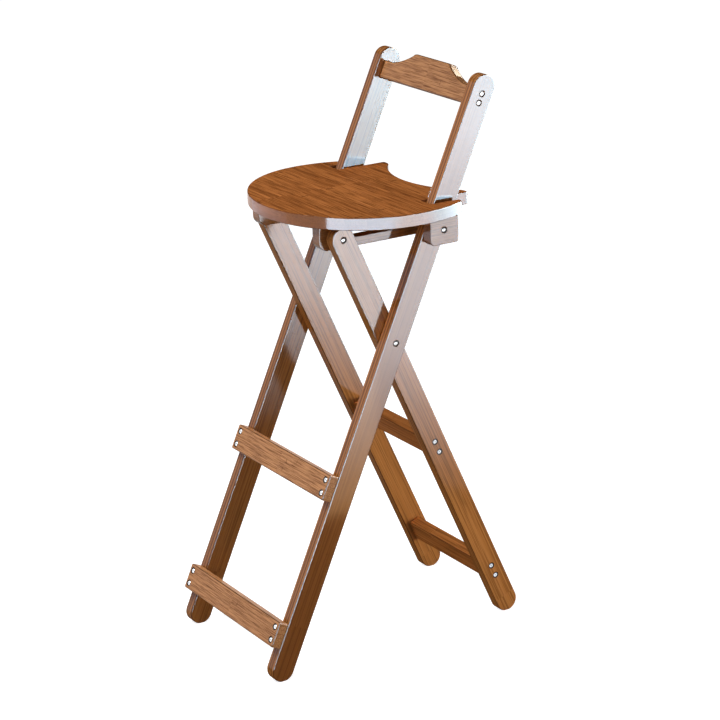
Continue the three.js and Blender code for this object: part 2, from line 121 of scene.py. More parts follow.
# Carbonised laminated bamboo under clear lacquer: flat strips glued side by side, each a slightly
# different brown, with fine dark fibres along it and a short dark knuckle line every so often.
# Sizes are in millimetres, along and across the grain; thin is the board's thin axis there
sideBoardLook = dict(
    thin=2, light="#ad7440", dark="#804d21", fibre="#43220b", knuckle="#42210b", edgeStain=0.7,
    strip=6.5, knuckleGap=420, fibreSize=(220, 2.4), fibreEdge=(0.5, 0.58), fibreShare=0.45,
    streakSize=(260, 6), streakShare=0.7, stripShare=0.1, knuckleShare=0.2, knuckleRarity=0.7,
    seams=(0.0, 0.85), seamWidth=2.0, coat=0.3)
# The fronts and backs of the short legs are rubbed duller
shortLegLook = dict(
    sideBoardLook, light="#ab733f", dark="#7c4a1f", fibre="#3c1d08", fibreShare=0.5,
    streakShare=0.8, stripShare=0.15, seams=(0.0, 0.6), seamWidth=1.5, dull=(1, 0.05))
footrestLook = dict(
    sideBoardLook, thin=1, light="#ca9263", dark="#a9754a", fibre="#552c10", knuckle="#4d2a14",
    knuckleGap=260, fibreSize=(36, 1.15), fibreEdge=(0.44, 0.66), fibreShare=0.85,
    streakSize=(130, 4), streakShare=0.9, knuckleShare=0.5, knuckleRarity=0.75,
    seams=(0.1, 0.5), seamWidth=0.5, coat=0.16)
# The rail is cut from darker stock than the footrests
railLook = dict(footrestLook, light="#b68459", dark="#986943")
stretcherLook = dict(
    sideBoardLook, thin=1, light="#b8763f", dark="#8c5224", fibre="#40200a", fibreSize=(120, 2.2),
    fibreShare=0.5, streakSize=(200, 6), streakShare=1.0, stripShare=0.2, knuckleShare=0.3,
    knuckleRarity=0.6, seams=(0.2, 0.5), seamWidth=0.8, coat=0.02)
hangerLook = dict(
    sideBoardLook, light="#96602f", dark="#74451d", fibre="#40200a", fibreSize=(110, 1.5),
    fibreEdge=(0.48, 0.64), fibreShare=0.6, streakSize=(200, 6), streakShare=1.0, stripShare=0.2,
    seams=(0.1, 0.4), seamWidth=0.5, coat=0.24)
# The seat has wider strips, a rubbed top and a sanded rim that shows little of the grain
seatLook = dict(
    sideBoardLook, light="#b7723d", dark="#74411d", fibre="#3a1b09", knuckle="#2e1405", strip=13,
    knuckleGap=150, fibreSize=(50, 1.4), fibreEdge=(0.46, 0.64), fibreShare=0.8,
    streakSize=(150, 7), streakShare=1.6, stripShare=0.3, knuckleShare=0.85, knuckleRarity=0.8,
    seams=(0.15, 0.6), seamWidth=0.5, dull=(2, 0.006), plainRim="#83502f")
# What all of it shares: noise detail and roughness, edges in millimetres, and how far a face
# may turn before it counts as rounded, rubbed or sanded
grain = dict(fibreNoise=(4.0, 0.62), streakNoise=(3.0, 0.6), stripStep=37.0, cellGaps=4,
             endless=1e6, knuckleEdge=(0.3, 1.6), waver=5.0, waverNoise=(0.35, 1.0), seamEdge=0.05,
             stainEdge=(0.03, 0.3), dullEdge=(0.5, 0.9), rimEdge=(0.3, 0.9), rimShare=0.75)
# The wood under the lacquer hardly mirrors anything; the lacquer's own thin gloss does
lacquer = dict(fibreSpan=(0.3, 0.8), roughness=(0.54, 0.7), specular=0.0, ior=1.5,
               coatRoughness=0.1, grainStrength=0.12, grainDepth=0.0002, stain="#2c1306")


def bambooMaterial(name, look, turn=(0, 0, 0), shift=(0, 0, 0)):
    material, add = blankMaterial(name)
    strip, gap = look["strip"], look["knuckleGap"]
    coordinates = add("ShaderNodeTexCoord").outputs
    # After this turn the grain runs along X, in millimetres
    along = add("ShaderNodeMapping", coordinates["Object"], shift, turn, (1000, 1000, 1000))
    # Strips: one random tone for each strip and each few knuckles along it
    cell = add("ShaderNodeVectorMath DIVIDE", along, (gap * grain["cellGaps"], strip, strip))
    stripTone = add("ShaderNodeTexWhiteNoise", add("ShaderNodeVectorMath FLOOR", cell)).outputs
    step = add("ShaderNodeVectorMath SCALE", stripTone["Color"], grain["stripStep"])
    # Dark fibres, one to three millimetres across, and broader streaks, both drawn out along the grain
    noises = []
    for kind in ("fibre", "streak"):
        length, width = look[kind + "Size"]
        drawn = add("ShaderNodeVectorMath DIVIDE", along, (length, width, width))
        moved = add("ShaderNodeVectorMath ADD", drawn, step)
        noises.append(add("ShaderNodeTexNoise", moved, 1.0, *grain[kind + "Noise"]))
    fibre, streak = noises
    middle = 0.5 - 0.5 * (look["streakShare"] + look["stripShare"])
    streakTone = add("ShaderNodeMath MULTIPLY_ADD", streak, look["streakShare"], middle)
    tone = add("ShaderNodeMath MULTIPLY_ADD", stripTone["Value"], look["stripShare"], streakTone,
               use_clamp=True)
    fibreMask = add("ShaderNodeMapRange", fibre, *look["fibreEdge"], 0.0, look["fibreShare"])
    # Knuckles: a thin dark line across some of the strips, set off at random along them
    split = add("ShaderNodeSeparateXYZ", along).outputs
    start = add("ShaderNodeVectorMath DIVIDE", along, (grain["endless"], strip, strip))
    offset = add("ShaderNodeTexWhiteNoise", add("ShaderNodeVectorMath FLOOR", start)).outputs
    moved = add("ShaderNodeMath MULTIPLY_ADD", offset["Value"], gap, split[0])
    waver = add("ShaderNodeTexNoise", along, *grain["waverNoise"])
    bent = add("ShaderNodeMath MULTIPLY_ADD", waver, grain["waver"], moved)
    nearest = add("ShaderNodeMath PINGPONG", bent, gap / 2)
    line = add("ShaderNodeMapRange", nearest, *grain["knuckleEdge"], look["knuckleShare"], 0.0)
    chance = add("ShaderNodeSeparateXYZ", offset["Color"])
    picked = add("ShaderNodeMath GREATER_THAN", chance, look["knuckleRarity"])
    knuckle = add("ShaderNodeMath MULTIPLY", line, picked)
    # Glue lines between strips, drawn wider than they are so that they show
    seams = []
    for axis, share in zip((1, 2), look["seams"]):
        across = add("ShaderNodeMath PINGPONG", split[axis], strip / 2)
        seams.append(
            add("ShaderNodeMapRange", across, grain["seamEdge"], look["seamWidth"], share, 0.0))
    seam = add("ShaderNodeMath MAXIMUM", *seams)
    # The stain gathers along the rounded edges, where the normal stands between two faces
    faceWay = add("ShaderNodeMapping", coordinates["Normal"], Rotation=turn, vector_type="VECTOR")
    thin = add("ShaderNodeSeparateXYZ", faceWay).outputs[look["thin"]]
    between = add("ShaderNodeMath PINGPONG", add("ShaderNodeMath MULTIPLY", thin, thin), 0.5)
    stained = add("ShaderNodeMapRange", between, *grain["stainEdge"], 0.0, look["edgeStain"])
    layers = [(fibreMask, look["fibre"]), (knuckle, look["knuckle"]), (seam, look["fibre"]),
              (stained, lacquer["stain"])]
    coat = look["coat"]
    if "dull" in look:
        axis, dullCoat = look["dull"]
        normal = add("ShaderNodeSeparateXYZ", coordinates["Normal"]).outputs[axis]
        facing = add("ShaderNodeMath ABSOLUTE", normal)
        coat = add("ShaderNodeMapRange", facing, *grain["dullEdge"], coat, dullCoat)
        if "plainRim" in look:
            plain = add("ShaderNodeMapRange", facing, *grain["rimEdge"], grain["rimShare"], 0.0)
            layers.append((plain, look["plainRim"]))
    colour = add("ShaderNodeMix", tone, linear(look["dark"]), linear(look["light"]), data_type="RGBA")
    for mask, tint in layers:
        colour = add("ShaderNodeMix", mask, colour, linear(tint), data_type="RGBA")
    # Lacquer fills the grain almost flat; a soft unevenness stays in it
    bump = add("ShaderNodeBump", lacquer["grainStrength"], lacquer["grainDepth"], Height=fibre)
    rough = add("ShaderNodeMapRange", fibre, *lacquer["fibreSpan"], *lacquer["roughness"])
    shader = add("ShaderNodeBsdfPrincipled", Base_Color=colour, Roughness=rough, IOR=lacquer["ior"],
                 Specular_IOR_Level=lacquer["specular"], Coat_Weight=coat,
                 Coat_Roughness=lacquer["coatRoughness"], Normal=bump)
    add("ShaderNodeOutputMaterial", shader)
    return material


# Zinc-plated steel: bright grey with a faint blue passivation cast, about 1 mm spangle (900 to the
# metre) and a barely brushed surface
zinc = dict(tints=("#e3e5e7", "#cdd1d6"), spangle=900.0, detail=3.0, span=(0.3, 0.7),
            roughness=(0.19, 0.3), grainStrength=0.05, grainDepth=0.0001)


def zincMaterial(name):
    material, add = blankMaterial(name)
    place = add("ShaderNodeTexCoord").outputs["Object"]
    cloud = add("ShaderNodeTexNoise", place, zinc["spangle"], zinc["detail"])
    colour = add("ShaderNodeMix", cloud, *map(linear, zinc["tints"]), data_type="RGBA")
    rough = add("ShaderNodeMapRange", cloud, *zinc["span"], *zinc["roughness"])
    bump = add("ShaderNodeBump", zinc["grainStrength"], zinc["grainDepth"], Height=cloud)
    shader = add("ShaderNodeBsdfPrincipled", Base_Color=colour, Metallic=1.0, Roughness=rough,
                 Normal=bump)
    add("ShaderNodeOutputMaterial", shader)
    return material


# Bores are left without lacquer: matt wood, coloured nearly black in blotches of about 1.4 mm (700
# to the metre). The dark colour is painted shade for the shadow in the gap round each head, and reads
# as a dark ring round it
bore = dict(tints=("#160b04", "#2e1a0c"), blotch=700.0, detail=2.0, roughness=0.9, specular=0.1)


def boreMaterial(name):
    material, add = blankMaterial(name)
    place = add("ShaderNodeTexCoord").outputs["Object"]
    shadeBlotches = add("ShaderNodeTexNoise", place, bore["blotch"], bore["detail"])
    colour = add("ShaderNodeMix", shadeBlotches, *map(linear, bore["tints"]), data_type="RGBA")
    shader = add("ShaderNodeBsdfPrincipled", Base_Color=colour, Roughness=bore["roughness"],
                 Specular_IOR_Level=bore["specular"])
    add("ShaderNodeOutputMaterial", shader)
    return material


# Grain turns: along the leaning boards, or across the stool; the shifts place the glue lines
materials = {
    "side": bambooMaterial("lacqueredBambooSideBoard", sideBoardLook, (lean, quarter, 0), (0, 3.2, 2)),
    "short": bambooMaterial("lacqueredBambooShortLeg", shortLegLook, (-lean, quarter, 0), (60, 2, 3)),
    "footrest": bambooMaterial("lacqueredBambooCrossBoard", footrestLook, (lean, 0, 0), (0, 3, 3)),
    "rail": bambooMaterial("lacqueredBambooRail", railLook, (lean, 0, 0), (0, 3, 3)),
    "stretcher": bambooMaterial("lacqueredBambooStretcher", stretcherLook, (-lean, 0, 0), (40, 3, 3)),
    "seat": bambooMaterial("lacqueredBambooSeat", seatLook, shift=(30, 4, 0)),
    "hanger": bambooMaterial("lacqueredBambooHanger", hangerLook, (0, 0, -quarter), (20, 2, 0)),
    "steel": zincMaterial("zincPlatedSteel"),
    # The bore walls are painted dark: painted shade round the heads
    "bore": boreMaterial("boreWallPaintedShade"),
}

print("stage: board tree")


# A new Geometry Nodes tree, with what adds a node to it and its named inputs
def blankTree(name, output, inputs):
    tree = bpy.data.node_groups.new(name, "GeometryNodeTree")
    for label, kind in inputs.items():
        tree.interface.new_socket(label, in_out="INPUT", socket_type="NodeSocket" + kind)
    tree.interface.new_socket(output, in_out="OUTPUT", socket_type="NodeSocketGeometry")
    add = partial(addNode, tree)
    return tree, add, add("NodeGroupInput").outputs


# Geometry Nodes: a board swept from a closed outline, with its edges rounded over
def boardTree():
    tree, add, given = blankTree("boardFromOutline", "Board", {
        "Outline": "Geometry", "Thickness": "Float", "Edge radius": "Float", "Edge steps": "Int",
        "Material": "Material"})
    radius, steps = given["Edge radius"], given["Edge steps"]
    half = add("ShaderNodeMath MULTIPLY", given["Thickness"], 0.5)
    straight = add("ShaderNodeMath SUBTRACT", half, radius)
    # The profile: a quarter round over, a straight wall and a quarter round under
    line = add("GeometryNodeMeshLine", add("ShaderNodeMath MULTIPLY_ADD", steps, 2.0, 2.0))
    index = add("GeometryNodeInputIndex")
    under = add("ShaderNodeMath GREATER_THAN", index, add("ShaderNodeMath ADD", steps, 0.5))
    upperPoints = add("ShaderNodeMath ADD", steps, 1.0)
    local = add("ShaderNodeMath SUBTRACT", index, add("ShaderNodeMath MULTIPLY", under, upperPoints))
    turn = add("ShaderNodeMath MULTIPLY", add("ShaderNodeMath DIVIDE", local, steps), quarter)
    dropped = add("ShaderNodeMath MULTIPLY_ADD", under, quarter, turn)
    angle = add("ShaderNodeMath SUBTRACT", quarter, dropped)
    inset = add("ShaderNodeMath SUBTRACT", add("ShaderNodeMath COSINE", angle), 1.0)
    inward = add("ShaderNodeMath MULTIPLY", inset, radius)
    above = add("ShaderNodeMath MULTIPLY_ADD", under, -2.0, 1.0)
    wall = add("ShaderNodeMath MULTIPLY", above, straight)
    height = add("ShaderNodeMath MULTIPLY_ADD", add("ShaderNodeMath SINE", angle), radius, wall)
    spot = add("ShaderNodeCombineXYZ", inward, height)
    profile = add("GeometryNodeMeshToCurve", add("GeometryNodeSetPosition", line, Position=spot))
    outline = add("GeometryNodeMeshToCurve", given["Outline"])
    standing = add("GeometryNodeSetCurveNormal", outline, mode="Z_UP")
    rim = add("GeometryNodeCurveToMesh", standing, profile)
    # The two faces fill the outline drawn in by the edge radius
    inwards = add("ShaderNodeMath MULTIPLY", radius, -1.0)
    drawnIn = add("ShaderNodeVectorMath SCALE", add("GeometryNodeInputNormal"), inwards)
    filled = add("GeometryNodeFillCurve", add("GeometryNodeSetPosition", standing, Offset=drawnIn))
    faces = []
    for sign in (1.0, -1.0):
        lift = add("ShaderNodeCombineXYZ", Z=add("ShaderNodeMath MULTIPLY", half, sign))
        faces.append(add("GeometryNodeTransform", filled, lift))
    joined = add("GeometryNodeJoinGeometry", [rim, *faces])
    welded = add("GeometryNodeMergeByDistance", joined, Distance=1e-5)
    real = add("GeometryNodeRealizeInstances", welded)
    add("NodeGroupOutput", add("GeometryNodeSetMaterial", real, Material=given["Material"]))
    return tree


# Runs a tree on an object and returns the result as a plain mesh; inputs are set by identifier
def grown(obj, tree, inputs):
    modifier = obj.modifiers.new("grow", "NODES")
    modifier.node_group = tree
    for item in tree.interface.items_tree:
        if item.in_out == "INPUT" and item.name in inputs:
            modifier[item.identifier] = inputs[item.name]
    mesh = evaluatedMesh(obj)
    bpy.data.objects.remove(obj)
    while None in mesh.materials[:]:
        mesh.materials.pop(index=mesh.materials[:].index(None))
    return mesh


def evaluatedMesh(obj):
    bpy.context.view_layer.update()
    return bpy.data.meshes.new_from_object(obj.evaluated_get(bpy.context.evaluated_depsgraph_get()))


# Replaces a piece's mesh with what its modifiers make of it
def applied(piece):
    mesh = evaluatedMesh(piece)
    piece.modifiers.clear()
    piece.data = mesh


def smoothed(piece, sharp):
    piece.data.polygons.foreach_set("use_smooth", [True] * len(piece.data.polygons))
    piece.data.set_sharp_from_angle(angle=math.radians(sharp))
    weighted = piece.modifiers.new("faceWeights", "WEIGHTED_NORMAL")
    weighted.keep_sharp, weighted.weight = True, fine["faceWeight"]
    applied(piece)


def placedObject(name, data):
    obj = bpy.data.objects.new(name, data)
    bpy.context.scene.collection.objects.link(obj)
    return obj


def meshObject(name, points, edges=(), faces=()):
    mesh = bpy.data.meshes.new(name)
    mesh.from_pydata(points, edges, faces)
    return placedObject(name, mesh)


# Points along an arc about a centre, in millimetres
def arc(centre, radius, start, end, steps=12):
    angles = [start + (end - start) * i / steps for i in range(steps + 1)]
    return [(centre[0] + radius * math.cos(a), centre[1] + radius * math.sin(a)) for a in angles]


# A rectangle with its corner radii from the lower left round to the upper left
def cornered(left, bottom, right, top, radii):
    lowLeft, lowRight, highRight, highLeft = radii
    return [*arc((left + lowLeft, bottom + lowLeft), lowLeft, 2 * quarter, 3 * quarter),
            *arc((right - lowRight, bottom + lowRight), lowRight, 3 * quarter, 4 * quarter),
            *arc((right - highRight, top - highRight), highRight, 0, quarter),
            *arc((left + highLeft, top - highLeft), highLeft, quarter, 2 * quarter)]


seatUnder = stool["seatTop"] - stool["seatThickness"]
pivotHeight = seatUnder - stool["pivotDrop"]
pivotBack = stool["pivotSpan"] * math.sin(lean)
crossHeight = pivotHeight - stool["pivotSpan"] * math.cos(lean)
footRadius = stool["boardWidth"] / 2
footReach = (crossHeight - footRadius + stool["footFlat"]) / math.cos(lean)
sideOuter = stool["frameWidth"] / 2
sideInner = sideOuter - stool["boardThickness"]
legOuter = sideInner - stool["laneGap"]
legInner = legOuter - stool["boardThickness"]
hangerTop = seatUnder - stool["restGap"]

# Every piece is placed from the pivot of the legs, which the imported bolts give
boltLow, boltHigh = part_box("leg_bolt_left")
pivotPoint = Vector((0, (boltLow.y + boltHigh.y) / 2, (boltLow.z + boltHigh.z) / 2))
toPivot = Matrix.Translation(pivotPoint)
longFrame = toPivot @ Matrix.Rotation(-lean, 4, "X")
shortFrame = toPivot @ Matrix.Rotation(lean, 4, "X")
seatFrame = toPivot @ Matrix.Translation((0, 0, -crossHeight * mm))
# How an outline lies: facing sideways, facing front, or flat
sideways = Matrix(((0, 0, 1, 0), (1, 0, 0, 0), (0, 1, 0, 0), (0, 0, 0, 1)))
facing = Matrix(((1, 0, 0, 0), (0, 0, -1, 0), (0, 1, 0, 0), (0, 0, 0, 1)))
flat = Matrix.Identity(4)
boardFromOutline = boardTree()


# A closed turned mesh about the Z axis, from (radius, height) pairs in millimetres
def turned(profile, sides):
    shape = bmesh.new()
    rings = []
    for radius, height in profile:
        angles = [4 * quarter * i / sides for i in range(1 if radius == 0 else sides)]
        rings.append([
            shape.verts.new((radius * math.cos(a) * mm, radius * math.sin(a) * mm, height * mm))
            for a in angles])
    for one, other in zip(rings, rings[1:]):
        for i in range(sides):
            corners = [one[i % len(one)], one[(i + 1) % len(one)], other[(i + 1) % len(other)],
                       other[i % len(other)]]
            corners = list(dict.fromkeys(corners))
            if len(corners) > 2:
                shape.faces.new(corners)
    bmesh.ops.remove_doubles(shape, verts=shape.verts, dist=1e-8)
    bmesh.ops.recalc_face_normals(shape, faces=shape.faces)
    mesh = bpy.data.meshes.new("turned")
    shape.to_mesh(mesh)
    shape.free()
    return mesh


# Turned shapes that stand on their places, as one mesh
def turnedOnPlaces(name, shapes, sides):
    joined = bmesh.new()
    for profile, (spot, outward) in shapes:
        shape = turned(profile, sides)
        upright = Vector((0, 0, 1)).rotation_difference(outward).to_matrix().to_4x4()
        shape.transform(Matrix.Translation(spot) @ upright)
        joined.from_mesh(shape)
        bpy.data.meshes.remove(shape)
    mesh = bpy.data.meshes.new(name)
    joined.to_mesh(mesh)
    joined.free()
    return mesh


# A board grown from outlines in millimetres, laid in a frame, bored and shaded
def board(name, node, outlines, sizes, lie, frameMatrix, at, material, tools, slot="bamboo"):
    points, edges = [], []
    for outline in outlines:
        first = len(points)
        points += [(x * mm, y * mm, 0) for x, y in outline]
        edges += [(first + i, first + (i + 1) % len(outline)) for i in range(len(outline))]
    mesh = grown(meshObject(name + "Outline", points, edges), boardFromOutline, {
        "Thickness": sizes["thickness"] * mm, "Edge radius": sizes["edge"] * mm,
        "Edge steps": fine["edgeSteps"], "Material": material})
    mesh.transform(frameMatrix @ Matrix.Translation([value * mm for value in at]) @ lie)
    shape = bmesh.new()
    shape.from_mesh(mesh)
    bmesh.ops.remove_doubles(shape, verts=shape.verts, dist=1e-7)
    bmesh.ops.recalc_face_normals(shape, faces=shape.faces)
    shape.to_mesh(mesh)
    shape.free()
    piece = placedObject(name, mesh)
    drills = placedObject(name + "Drills", turnedOnPlaces(name + "Drills", tools, fine["drillSides"]))
    # The walls that the drills cut take the bore material, which is painted shade
    drills.data.materials.append(materials["bore"])
    cut = piece.modifiers.new("bore", "BOOLEAN")
    cut.operation, cut.solver, cut.object = "DIFFERENCE", "MANIFOLD", drills
    cut.material_mode = "TRANSFER"
    applied(piece)
    bpy.data.objects.remove(drills)
    smoothed(piece, fine["woodSharp"])
    standsFor(piece, [node], slot)


# A piece rides where the nodes that it stands for ride; wood and steel are lit by cards of their own
woodPieces, steelPieces = [], []


def standsFor(piece, names, slot):
    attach(piece, nodes[names[0]]["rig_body"])
    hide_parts(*names)
    (steelPieces if slot == "zinc_steel" else woodPieces).append(piece)
    shape = bmesh.new()
    shape.from_mesh(piece.data)
    openEdges = sum(1 for edge in shape.edges if len(edge.link_faces) != 2)
    shape.free()
    if openEdges:
        print("open edges on", piece.name, openEdges)


print("stage: fastener places")

footrestScrews, stretcherScrews = [
    [f"{level}_{kind}_screw_{hand}_{end}" for level in levels for hand, side in hands for end in ends]
    for kind in ("footrest", "stretcher")]
railScrews = [f"rail_screw_{hand}_{end}" for hand, side in hands for end in ends]
seatScrews = [f"{kind}_screw_{hand}_{rim}" for kind in ("cleat", "bracket") for hand, side in hands
              for rim in rims]


# The names that hold all the given words
def chosen(names, *words):
    return [name for name in names if set(words) <= set(name.split("_"))]


# Where a packed fastener sits: its outer end on its own axis, in the frame's own coordinates
def headOf(name, frameMatrix, outward):
    back = frameMatrix.inverted()
    points = [back @ vertex.co for vertex in nodes[name].data.vertices]
    low, high = [Vector([pick(point[axis] for point in points) for axis in range(3)])
                 for pick in (min, max)]
    spot = (low + high) / 2
    reach = max((point - spot).dot(outward) for point in points)
    return frameMatrix @ (spot + outward * reach), (frameMatrix.to_3x3() @ outward).normalized()


places = {}
for hand, side in hands:
    outward, forward, downward = Vector((side, 0, 0)), Vector((0, -1, 0)), Vector((0, 0, -1))
    for names, frameMatrix, way in (
            (["leg_bolt", "leg_washer", "seat_insert_nut"], longFrame, outward),
            (["seat_bolt", "seat_washer"], seatFrame, outward), (["slot_bolt"], shortFrame, outward),
            (["slot_bush"], seatFrame, -outward), (["leg_sleeve_nut"], shortFrame, -outward)):
        for name in names:
            places[f"{name}_{hand}"] = headOf(f"{name}_{hand}", frameMatrix, way)
    for names, frameMatrix, way in (
            (railScrews, longFrame, outward), (footrestScrews, longFrame, forward),
            (stretcherScrews, shortFrame, outward), (seatScrews, seatFrame, downward)):
        for name in chosen(names, hand):
            places[name] = headOf(name, frameMatrix, way)

# Fasteners in millimetres; the recess is a cross in the screws and a hexagon in the bolts
screw = dict(headRadius=3.3, headHeight=2.8, shankRadius=1.75, recess=2.1)
bolt = dict(headRadius=3.2, headHeight=3, shankRadius=2.5, recess=1.2)
screwLength = dict(footrest=37, rail=45, stretcher=49, seat=42)
boltLength = dict(leg=19, seat=32.3, slot=47.9)
# Their holes, each from the fastener's own outer end: radii, and depths under that end
screwHole = dict(head=5.2, floor=2.3, shank=2.25, sunk=0.3, lip=0.12, past=0.3)
boltHole = dict(head=5.3, floor=3.3, shank=2.8, sunk=0.7, lip=0.12, past=0)
# Under the seat the screw heads stand in open countersinks
underHole = dict(shank=2, depth=42.3, cone=3, head=4.3, rim=0.6, open=30)
boltHoleDepth = dict(leg=21, seat=24, slot=22)
plainHoleTop = 2


# Profiles of the drills, as (radius, height) pairs
def headedTool(hole, length):
    depth, top = -length - hole["past"], hole["sunk"] + hole["lip"]
    return [(0, depth), (hole["shank"], depth), (hole["shank"], -hole["floor"]),
            (hole["head"], -hole["floor"]), (hole["head"], hole["sunk"] - hole["lip"]),
            (hole["head"] + hole["lip"] * 2, top), (0, top)]


def plainTool(radius, length):
    return [(0, -length), (radius, -length), (radius, plainHoleTop), (0, plainHoleTop)]


underTool = [(0, -underHole["depth"]), (underHole["shank"], -underHole["depth"]),
             (underHole["shank"], -underHole["cone"]), (underHole["head"], -underHole["rim"]),
             (underHole["head"], underHole["open"]), (0, underHole["open"])]


def drilled(profile, names):
    return [(profile, places[name]) for name in names]


print("stage: boards")

# Side boards and short legs have full-round ends; each foot is flat where it stands
sideBoard = dict(thickness=stool["boardThickness"], reach=419, edge=1.6, insert=4.5,
                 insertDepth=14.3, endSteps=40)
# The sleeve nut's cavity is closed under a flush plug of the leg's own bamboo
sleeveCavity = [(0, -21), (4.3, -21), (4.3, -3), (5.3, -3), (5.3, -0.6), (0, -0.6)]


def legOutline(topReach, turn):
    steps = sideBoard["endSteps"]
    run = []
    for u, v in (arc((0, -footReach), footRadius, 2 * quarter, 4 * quarter, steps)
                 + arc((0, topReach), footRadius, 0, 2 * quarter, steps)):
        sunk = min(crossHeight + v * math.cos(turn) - u * math.sin(turn), 0)
        run.append((u + sunk * math.sin(turn), v - sunk * math.cos(turn)))
    return run


for hand, side in hands:
    insertTool = plainTool(sideBoard["insert"], sideBoard["insertDepth"])
    tools = [*drilled(headedTool(boltHole, boltHoleDepth["leg"]), [f"leg_bolt_{hand}"]),
             *drilled(insertTool, [f"seat_insert_nut_{hand}"]),
             *drilled(headedTool(screwHole, screwLength["rail"]), chosen(railScrews, hand)),
             *drilled(headedTool(screwHole, screwLength["footrest"]), chosen(footrestScrews, hand))]
    outline = legOutline(sideBoard["reach"] - footRadius, lean)
    board(f"sideBoard.{hand}", f"side_board_{hand}", [outline], sideBoard, sideways, longFrame,
          (side * (sideOuter - sideBoard["thickness"] / 2), 0, 0), materials["side"], tools)
for hand, side in hands:
    tools = [*drilled(headedTool(boltHole, boltHoleDepth["slot"]), [f"slot_bolt_{hand}"]),
             *drilled(sleeveCavity, [f"leg_sleeve_nut_{hand}"]),
             *drilled(headedTool(screwHole, screwLength["stretcher"]), chosen(stretcherScrews, hand))]
    board(f"shortLeg.{hand}", f"short_leg_{hand}", [legOutline(stool["pivotSpan"], -lean)],
          sideBoard, sideways, shortFrame, (side * (legOuter - sideBoard["thickness"] / 2), 0, 0),
          materials["short"], tools)

# Footrests on the fronts of the side boards, and stretchers between the short legs
footrest = dict(width=40, thickness=16.5, edge=2.2, corner=2.6, upper=236, lower=470.5)
stretcher = dict(width=36, thickness=18.5, edge=1.6, corner=2, upper=206, lower=459)
footrestDepth = footRadius + stool["restGap"] + footrest["thickness"] / 2
for kind, sizes, end, frameMatrix, depth, names in (
        ("footrest", footrest, sideOuter, longFrame, -footrestDepth, footrestScrews),
        ("stretcher", stretcher, legInner - stool["restGap"], shortFrame, 0, stretcherScrews)):
    for level in levels:
        half = sizes["width"] / 2
        outline = cornered(-end, -half, end, half, [sizes["corner"]] * 4)
        board(level + kind.capitalize(), f"{level}_{kind}", [outline], sizes, facing, frameMatrix,
              (0, depth, -sizes[level]), materials[kind],
              drilled(headedTool(screwHole, screwLength[kind]), chosen(names, level)))

# Backrest rail: its top falls from the crown to the ends in one sweep
rail = dict(bottom=368.4, endHeight=28.6, rise=22, crown=42, flank=96, thickness=17, edge=2.5,
            corner=3, sweepSteps=6,
            sweep=((0.815, 0.118), (0.593, 0.295), (0.352, 0.559), (0.167, 0.818), (0.111, 0.941)))


# A smooth curve through the given points, as the solids' own spline runs
def smoothThrough(points, perSpan):
    run = []
    for i in range(len(points) - 1):
        before, one, two, after = (points[max(i - 1, 0)], points[i], points[i + 1],
                                   points[min(i + 2, len(points) - 1)])
        for step in range(perSpan):
            t = step / perSpan
            run.append(tuple(
                one[k] + 0.5 * t * (two[k] - before[k]
                                    + t * (2 * before[k] - 5 * one[k] + 4 * two[k] - after[k]
                                           + t * (3 * (one[k] - two[k]) + after[k] - before[k])))
                for k in range(2)))
    return run + [points[-1]]


def railOutline():
    corner, bottom, crown = rail["corner"], rail["bottom"], rail["crown"]
    half, endTop = sideInner - stool["restGap"], bottom + rail["endHeight"]
    span, inset = rail["flank"] - crown, half - corner
    sweep = [(crown + across * span, endTop + rise * rail["rise"]) for across, rise in rail["sweep"]]
    flank = smoothThrough([(rail["flank"], endTop), *sweep, (crown, endTop + rail["rise"])],
                          rail["sweepSteps"])
    rightHalf = [*arc((inset, bottom + corner), corner, -quarter, 0),
                 *arc((inset, endTop - corner), corner, 0, quarter), *flank]
    return rightHalf + [(-x, y) for x, y in reversed(rightHalf)]


board("backrestRail", "backrest_rail", [railOutline()], rail, facing, longFrame, (0, 0, 0),
      materials["rail"], drilled(headedTool(screwHole, screwLength["rail"]), railScrews))

# Seat: round and flatter ahead of its centre, with a slot for each post and a curved cut between
# two horns
seat = dict(radius=177, frontReach=162.7, shift=24, thickness=stool["seatThickness"], edge=1.6,
            slotInner=2, slotOuter=5.5, slotFront=0.6, slotCorner=2, cutReach=84.7, cutRadius=159.5,
            hornWidth=13.6, hornCorner=4.5, tipShare=0.23, easeAt=(0, 0.25, 0.5, 0.75), frontSteps=70,
            flankSteps=24, tipSteps=20, slotSteps=6, hornSteps=10, cutSteps=30)


